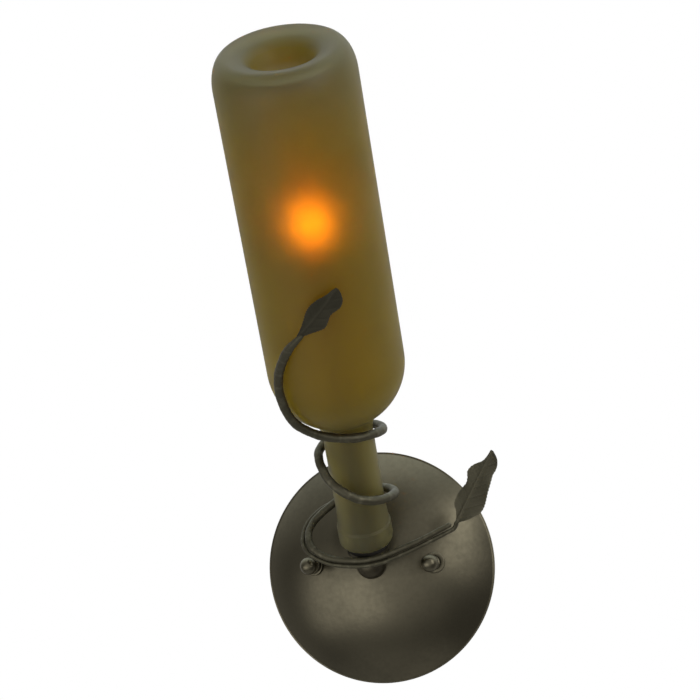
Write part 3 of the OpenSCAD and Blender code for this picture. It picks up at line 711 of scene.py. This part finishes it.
class SCONCE_OT_bottle(Operator):
    """Turns the frosted bottle, lip down, with the recess of its end on top"""
    bl_idname = "sconce.bottle"
    bl_label = "Frosted Bottle"

    def execute(self, context):
        s = context.scene.sconce.bottle
        glass = material(
            "frosted_amber_glass",
            frosted_glass(tuple(s.tint), tuple(s.painted_sheen), s.frost, tuple(s.glow)),
            Transmission_Weight=0.82, IOR=1.5, Subsurface_Weight=0.4,
            Subsurface_Radius=(1.0, 0.6, 0.2), Subsurface_Scale=4 * MM, Emission_Strength=1.0)
        piece = lathe("bottle_glass", bottle_outline(s), MOUTH, UPWARD, segments=192)
        dressed(piece, glass, "bottle", "amber_glass", "glass_bottle")
        return {"FINISHED"}


def dome_radius(radius, depth):
    """Radius of the sphere that a dome is cut from: (rim^2 + depth^2) / (2 depth)."""
    return (radius**2 + depth**2) / (2 * depth)


def dome_outline(radius, depth, sheet):
    """The canopy's outline as (distance, height) from the wall, from inside the
    apex round the rim to the apex: two circles, one sheet apart, with a rounded
    edge at the wall."""
    apex, edge, clear = 89.8, 0.35 * MM, 0.45
    ball = dome_radius(radius, depth)
    middle = [0, depth - ball]
    outer = np.degrees(np.arcsin((ball - depth) / ball))
    inner = np.degrees(np.arcsin((ball - depth) / (ball - sheet)))
    return np.concatenate([
        arc(middle, ball - sheet, apex, inner, 48),
        arc([radius - edge, edge], edge, -90, 40, 5),
        arc(middle, ball, outer + clear, apex, 64),
    ])


class SCONCE_OT_canopy(Operator):
    """Spins the domed back-plate"""
    bl_idname = "sconce.canopy"
    bl_label = "Canopy"

    def execute(self, context):
        s = context.scene.sconce.canopy
        centre = np.array([0, 0, (CANOPY_HIGH.z + CANOPY_LOW.z) / 2])
        outline = dome_outline(s.radius, s.depth, s.sheet)
        piece = lathe("canopy_dome", outline, centre, OUTWARD, segments=256)
        satin = satin_bronze(tuple(s.bronze), tuple(s.patina), roughness=0.35)
        bronze = material("satin_bronze", satin, Metallic=1.0)
        dressed(piece, bronze, "fixture", "bronze", "canopy")
        return {"FINISHED"}


def nut_outline(base, centre, ball, bore):
    """A ball nut's outline as (distance, height) from the wall: up the blind bore,
    out over the flange, in to the neck, and round the ball to its crown."""
    flange, neck = 3.9 * MM, 3.1 * MM
    low_edge, top_edge, blind = 0.3 * MM, 0.4 * MM, 0.8 * MM
    meet = np.degrees(np.arcsin(neck / ball))
    return np.concatenate([
        [[0.1 * MM, centre - blind], [bore, centre - blind], [bore, base]],
        arc([flange - low_edge, base + low_edge], low_edge, -90, 0, 4),
        arc([flange - top_edge, base + MM], top_edge, 0, 90, 4),
        smooth_line([
            [neck + 0.3 * MM, base + 1.5 * MM], [neck, base + 2.2 * MM], [neck, centre - 4.6 * MM]
        ], 5),
        arc([0, centre], ball, meet - 86, 89, 30),
    ])


class SCONCE_OT_ball_nuts(Operator):
    """Turns the two ball nuts and their washers"""
    bl_idname = "sconce.ball_nuts"
    bl_label = "Ball Nuts"

    def execute(self, context):
        s = context.scene.sconce.canopy
        satin = satin_bronze(tuple(s.bronze), tuple(s.patina), roughness=0.34)
        bronze = material("ball_bronze", satin, Metallic=1.0)
        bore = 2.13 * MM
        outer, inner, half = 6 * MM, 3.3 * MM, 0.55 * MM
        ring = np.concatenate([
            [[inner, -half]],
            arc([outer - half, 0], half, -90, 90, 10),
            [[inner + 0.2 * MM, half], [inner, half - 0.2 * MM]],
        ])
        for side in ("left", "right"):
            low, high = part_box(f"ball_nut_{side}")
            stud = np.array([(low.x + high.x) / 2, 0, (low.z + high.z) / 2])
            outline = nut_outline(-high.y, -low.y - s.ball, s.ball, bore)
            nut = lathe(f"ball_nut_{side}_turned", outline, stud, OUTWARD, segments=72)
            dressed(nut, bronze, f"{side}_nut", "bronze", f"ball_nut_{side}")
            washer_low, washer_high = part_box(f"nut_washer_{side}")
            middle = np.array(washer_low + washer_high) / 2
            slope = np.arcsin(stud[0] / dome_radius(s.radius, s.depth))
            axis = np.array([np.sin(slope), -np.cos(slope), 0])
            name = f"nut_washer_{side}_turned"
            washer = lathe(name, ring, middle, axis, segments=72, closed=True)
            dressed(washer, bronze, f"{side}_washer", "bronze", f"nut_washer_{side}")
        return {"FINISHED"}


class SCONCE_OT_vine(Operator):
    """Draws the forged rod, the leaf's stem and their welds"""
    bl_idname = "sconce.vine"
    bl_label = "Forged Vine"

    def execute(self, context):
        s = context.scene.sconce.vine
        tints = tuple(s.iron), tuple(s.worn)
        iron = material("forged_iron", forged_iron(*tints), Metallic=0.85)
        weld_iron = material("weld_iron", forged_iron(*tints, own=False), Metallic=0.85)
        full_from, thins_from = 0.036, 0.62

        def rod_radius(t):
            swollen = np.clip(t / full_from, 0, 1) ** 0.8
            thin = np.clip((t - thins_from) / (1 - thins_from), 0, 1)
            return s.rod_start + (s.rod - s.rod_start) * swollen + (s.rod_end - s.rod) * thin

        def stem_radius(t):
            return np.full_like(t, s.stem)

        rod = tube("vine_rod_forged", route(VINE_ROUTE), rod_radius, ripple=0.05)
        dressed(rod, iron, "fixture", "forged_iron", "vine_rod")
        stem = tube("leaf_stem_forged", route(STEM_ROUTE), stem_radius, ripple=0.06)
        dressed(stem, iron, "fixture", "forged_iron", "leaf_stem")
        spots = np.array(WELD_SPOTS)
        middles = around(spots[:, 0] * MM, spots[:, 1] * MM, spots[:, 2])
        bead = 2.2 * MM
        for number, middle in enumerate(middles):
            drop = arc([0, 0], bead, -88, 88, 14) * [1, 0.85]
            weld = lathe(f"vine_weld_{number + 1}", drop, middle, FRONT, segments=28)
            dressed(weld, weld_iron, "fixture", "forged_iron", "vine_welds")
        return {"FINISHED"}


class SCONCE_OT_leaves(Operator):
    """Shapes the two forged leaves"""
    bl_idname = "sconce.leaves"
    bl_label = "Forged Leaves"

    def execute(self, context):
        s = context.scene.sconce.vine
        tints = tuple(s.iron), tuple(s.worn)
        fold = 1.1 * MM
        iron = material("leaf_iron", leaf_iron(*tints), Metallic=0.8)
        # The upper leaf is the same iron painted 0.6 as dark: painted shade for the dimmer light that falls on it
        painted_shade_tints = (darker(tint, 0.6) for tint in tints)
        painted_shade_iron = material("painted_shade_leaf_iron", leaf_iron(*painted_shade_tints), Metallic=0.8)

        sides = UPPER_LEAF_LEFT, UPPER_LEAF_RIGHT
        flat = leaf_grid(s.upper_leaf, *sides, s.leaf_thick, fold, wave=0.5 * MM)
        leaf = grid_surface("upper_leaf_forged", upper_leaf_place(flat), pattern=leaf_pattern(flat))
        dressed(leaf, painted_shade_iron, "fixture", "forged_iron", "upper_leaf")

        sides = LOWER_LEAF_LEFT, LOWER_LEAF_RIGHT
        flat = leaf_grid(s.lower_leaf, *sides, s.leaf_thick, fold, wave=1.2 * MM)
        leaf = grid_surface("lower_leaf_forged", lower_leaf_place(flat), pattern=leaf_pattern(flat))
        dressed(leaf, iron, "fixture", "forged_iron", "lower_leaf")
        return {"FINISHED"}


def upper_leaf_place(flat):
    """Bends the flat leaf round the bottle's body: its length and breadth, turned
    together, become height and angle, and its own height adds to the distance."""
    turn, base_height, base_angle, distance = np.radians(43), 158.5 * MM, -10, 40.2 * MM
    across = flat[..., 0] * np.cos(turn) + flat[..., 1] * np.sin(turn)
    along = flat[..., 1] * np.cos(turn) - flat[..., 0] * np.sin(turn)
    degrees = base_angle + np.degrees(across / distance)
    return around(base_height + along, distance + flat[..., 2], degrees)


def lower_leaf_place(flat):
    """Stands the flat leaf up in front of the wall, turned and tipped at its base."""
    base = np.array([52.4, -41.6, 22.3]) * MM
    tip, turn = np.radians(-12), np.radians(-28)
    tipped = Matrix.Rotation(turn, 3, "Z") @ Matrix.Rotation(tip, 3, "Y")
    return base + flat @ np.array(Matrix.Rotation(np.pi / 2, 3, "X") @ tipped).T


# How each material slot of the record is finished: [builder, constants]
SLOT_FINISHES = {
    "steel": [drawn_metal((0.5, 0.5, 0.48)), {"Metallic": 1.0}],
    "ground_screw": [plain_finish((0.03, 0.2, 0.06), mottle=0.3), {"Metallic": 0.8}],
    "bronze": [satin_bronze(BRONZE, PATINA), {"Metallic": 1.0}],
    "dark_bronze": [
        satin_bronze((0.12, 0.105, 0.07), (0.07, 0.06, 0.044), roughness=0.42),
        {"Metallic": 1.0},
    ],
    "brass": [drawn_metal((0.6, 0.42, 0.15)), {"Metallic": 1.0}],
    "copper": [drawn_metal((0.62, 0.26, 0.12)), {"Metallic": 1.0}],
    "rubber": [
        plain_finish((0.026, 0.023, 0.016), mottle=0.3, roughness=0.8, scale=500, dent=0.3),
        {},
    ],
    "black_lead": [plain_finish((0.012, 0.012, 0.012), mottle=0.3), {}],
    "white_lead": [plain_finish((0.72, 0.72, 0.68), mottle=0.1), {}],
    "connector": [plain_finish((0.7, 0.18, 0.02), roughness=0.45, scale=200), {}],
    "porcelain": [
        plain_finish((0.8, 0.76, 0.66), mottle=0.06, roughness=0.2, scale=150, dent=0.04),
        {"Coat_Weight": 0.4},
    ],
    "candle_card": [
        plain_finish((0.7, 0.64, 0.45), mottle=0.12, roughness=0.8, scale=700, dent=0.3),
        {},
    ],
    "bulb_metal": [drawn_metal((0.6, 0.59, 0.55)), {"Metallic": 1.0}],
    "black_insulator": [plain_finish((0.012, 0.012, 0.012), mottle=0.3, roughness=0.3), {}],
    "clear_glass": [
        plain_finish((0.85, 0.85, 0.88), mottle=0.04, roughness=0.08, scale=90, dent=0.02),
        {"Transmission_Weight": 1.0},
    ],
    "bulb_glass": [
        lit_bulb((1.0, 0.82, 0.45), (1.0, 0.36, 0.0)),
        {"Transmission_Weight": 0.3, "Emission_Strength": 6.0},
    ],
    "filament": [
        plain_finish((1.0, 0.7, 0.35), mottle=0.1),
        {"Emission_Color": (1.0, 0.62, 0.25, 1), "Emission_Strength": 30.0},
    ],
    "amber_glass": [
        plain_finish((0.50, 0.385, 0.03), mottle=0.2, roughness=0.46),
        {"Transmission_Weight": 0.6},
    ],
    "forged_iron": [forged_iron(IRON, WORN_IRON, own=False), {"Metallic": 0.85}],
}


class SCONCE_OT_hardware(Operator):
    """Finishes every piece of the fixture, the lampholder and the bulb"""
    bl_idname = "sconce.hardware"
    bl_label = "Hardware Finishes"

    def execute(self, context):
        slot_of = {part["node"]: part["material_slot"] for part in frame["record"]["subparts"]}
        made = {}
        for name, node in frame["nodes"].items():
            slot = slot_of[name]
            if slot not in made:
                build, constants = SLOT_FINISHES[slot]
                made[slot] = material(f"{slot}_finish", build, **constants)
            node.data.materials.clear()
            node.data.materials.append(made[slot])
        return {"FINISHED"}


def area_light(name, toward, distance, size, power, tint=WHITE):
    """An area light that shines on the sconce from a direction, with a power in
    watts."""
    light = bpy.data.lights.new(name, "AREA")
    light.shape = "RECTANGLE"
    light.size, light.size_y = size
    light.energy, light.color = power, tint
    lamp = bpy.data.objects.new(name, light)
    bpy.context.scene.collection.objects.link(lamp)
    back = unit(np.array(toward, float))
    steep = abs(back[2]) >= 0.9
    side = unit(np.cross([0, 1.0, 0] if steep else [0, 0, 1.0], back))
    middle = np.array([0, -0.05, 0])
    turn = Matrix(np.stack([side, np.cross(back, side), back], -1).tolist())
    lamp.matrix_world = Matrix.Translation(middle + distance * back) @ turn.to_4x4()


class SCONCE_OT_stage(Operator):
    """Sets up the camera, the soft lights, the white surroundings and the floor"""
    bl_idname = "sconce.stage"
    bl_label = "Stage"

    def execute(self, context):
        s = context.scene.sconce.stage
        self.place_camera(context.scene, s)
        self.light_world(context.scene)
        area_light(
            "light_from_right", toward=(0.8, -0.6, 0.34), distance=1.1, size=(0.5, 0.9), power=2.4)
        area_light(
            "light_from_left", toward=(-0.56, -0.74, -0.36), distance=1.2, size=(1.3, 0.8),
            power=2.5)
        area_light(
            "light_from_above", toward=(0.05, -0.2, 1.0), distance=1.2, size=(0.9, 0.7),
            power=0.8, tint=(0.93, 0.98, 1))
        self.lay_floor(s.floor)
        context.scene.view_settings.view_transform = "Standard"
        return {"FINISHED"}

    def place_camera(self, scene, s):
        """The camera looks back along its azimuth and elevation, then rolls."""
        level = np.cos(s.elevation)
        back = np.array([
            np.sin(s.azimuth) * level, -np.cos(s.azimuth) * level, np.sin(s.elevation)
        ])
        side = np.array([np.cos(s.azimuth), np.sin(s.azimuth), 0])
        up = np.cross(back, side)
        cos, sin = np.cos(s.roll), np.sin(s.roll)
        turn = Matrix(np.stack([cos * side + sin * up, cos * up - sin * side, back], -1).tolist())
        camera = bpy.data.objects.new("camera", bpy.data.cameras.new("camera"))
        camera.data.lens, camera.data.sensor_width = s.lens, SENSOR_WIDTH
        camera.matrix_world = Matrix.Translation(CAMERA_PLACE) @ turn.to_4x4()
        scene.collection.objects.link(camera)
        scene.camera = camera

    def light_world(self, scene):
        """White where the camera looks past the sconce. Its metal and glass see
        white behind and above it, and a dimmer room in front and to the sides. All
        else is lit by an even, weak sky."""
        even_sky, dimmest = 0.3, 0.07
        world = bpy.data.worlds.new("studio")
        world.use_nodes = True
        scene.world = world
        finish = Finish(world.node_tree)
        where = finish.node("ShaderNodeTexCoord", {}, {}, "Generated")
        _, behind, above = finish.split(where)
        seen, glossy, inside = (
            finish.node("ShaderNodeLightPath", {}, {}, f"Is {kind} Ray")
            for kind in ("Camera", "Glossy", "Transmission")
        )
        overhead = ((above - 0.1) * 1.2).clamped() * (behind + 0.8).clamped()
        ahead = (behind * -1.2 - 0.72).clamped()
        room = (behind * 0.5 + 0.1).clamped()
        mirrored = (room + overhead + ahead).clamped() * (1 - dimmest) + dimmest
        through = (behind * 2 + 0.3).clamped() * (1 - dimmest) + dimmest
        rest = 1 - glossy - inside
        level = glossy * mirrored + inside * through + rest.clamped() * even_sky
        strength = seen + (1 - seen) * level.clamped()
        cool = finish.mix(overhead * glossy, WHITE, (0.84, 0.95, 1.0))
        sky = finish.node("ShaderNodeBackground", {}, {"Color": cool, "Strength": strength})
        finish.node("ShaderNodeOutputWorld", {}, {"Surface": sky})

    def lay_floor(self, height):
        """A square floor, well below the sconce."""
        reach = 1.2
        signs = (-1, -1), (1, -1), (1, 1), (-1, 1)
        corners = [(x * reach, y * reach, height) for x, y in signs]
        mesh = bpy.data.meshes.new("floor")
        mesh.from_pydata(corners, [], [(0, 1, 2, 3)])
        floor = bpy.data.objects.new("floor", mesh)
        bpy.context.scene.collection.objects.link(floor)
        pale = plain_finish((0.8, 0.8, 0.8), mottle=0.02, roughness=0.8, scale=20, dent=0.0)
        mesh.materials.append(material("pale_floor", pale))


class SCONCE_PT_panel(Panel):
    """Lists the sconce's settings and the steps that dress it"""
    bl_idname = "SCONCE_PT_panel"
    bl_label = "Bottle Torch Sconce"
    bl_space_type = "VIEW_3D"
    bl_region_type = "UI"
    bl_category = "Sconce"

    def draw(self, context):
        settings = context.scene.sconce
        for group in (settings.bottle, settings.canopy, settings.vine, settings.stage):
            box = self.layout.box()
            for key in group.__annotations__:
                box.prop(group, key)
        for step in STEPS:
            self.layout.operator(step.bl_idname)


STEPS = (
    SCONCE_OT_stage, SCONCE_OT_hardware, SCONCE_OT_bottle, SCONCE_OT_canopy,
    SCONCE_OT_ball_nuts, SCONCE_OT_vine, SCONCE_OT_leaves,
)
CLASSES = (
    SCONCE_PG_bottle, SCONCE_PG_canopy, SCONCE_PG_vine, SCONCE_PG_stage,
    SCONCE_PG_settings, *STEPS, SCONCE_PT_panel,
)


def register():
    """Adds the classes and the scene's settings to Blender."""
    for cls in CLASSES:
        bpy.utils.register_class(cls)
    bpy.types.Scene.sconce = PointerProperty(type=SCONCE_PG_settings)


def unregister():
    """Takes them out again."""
    del bpy.types.Scene.sconce
    for cls in reversed(CLASSES):
        bpy.utils.unregister_class(cls)


def main():
    """Dresses the sconce step by step."""
    register()
    for step in STEPS:
        family, name = step.bl_idname.split(".")
        getattr(getattr(bpy.ops, family), name)()


if __name__ == "__main__":
    main()
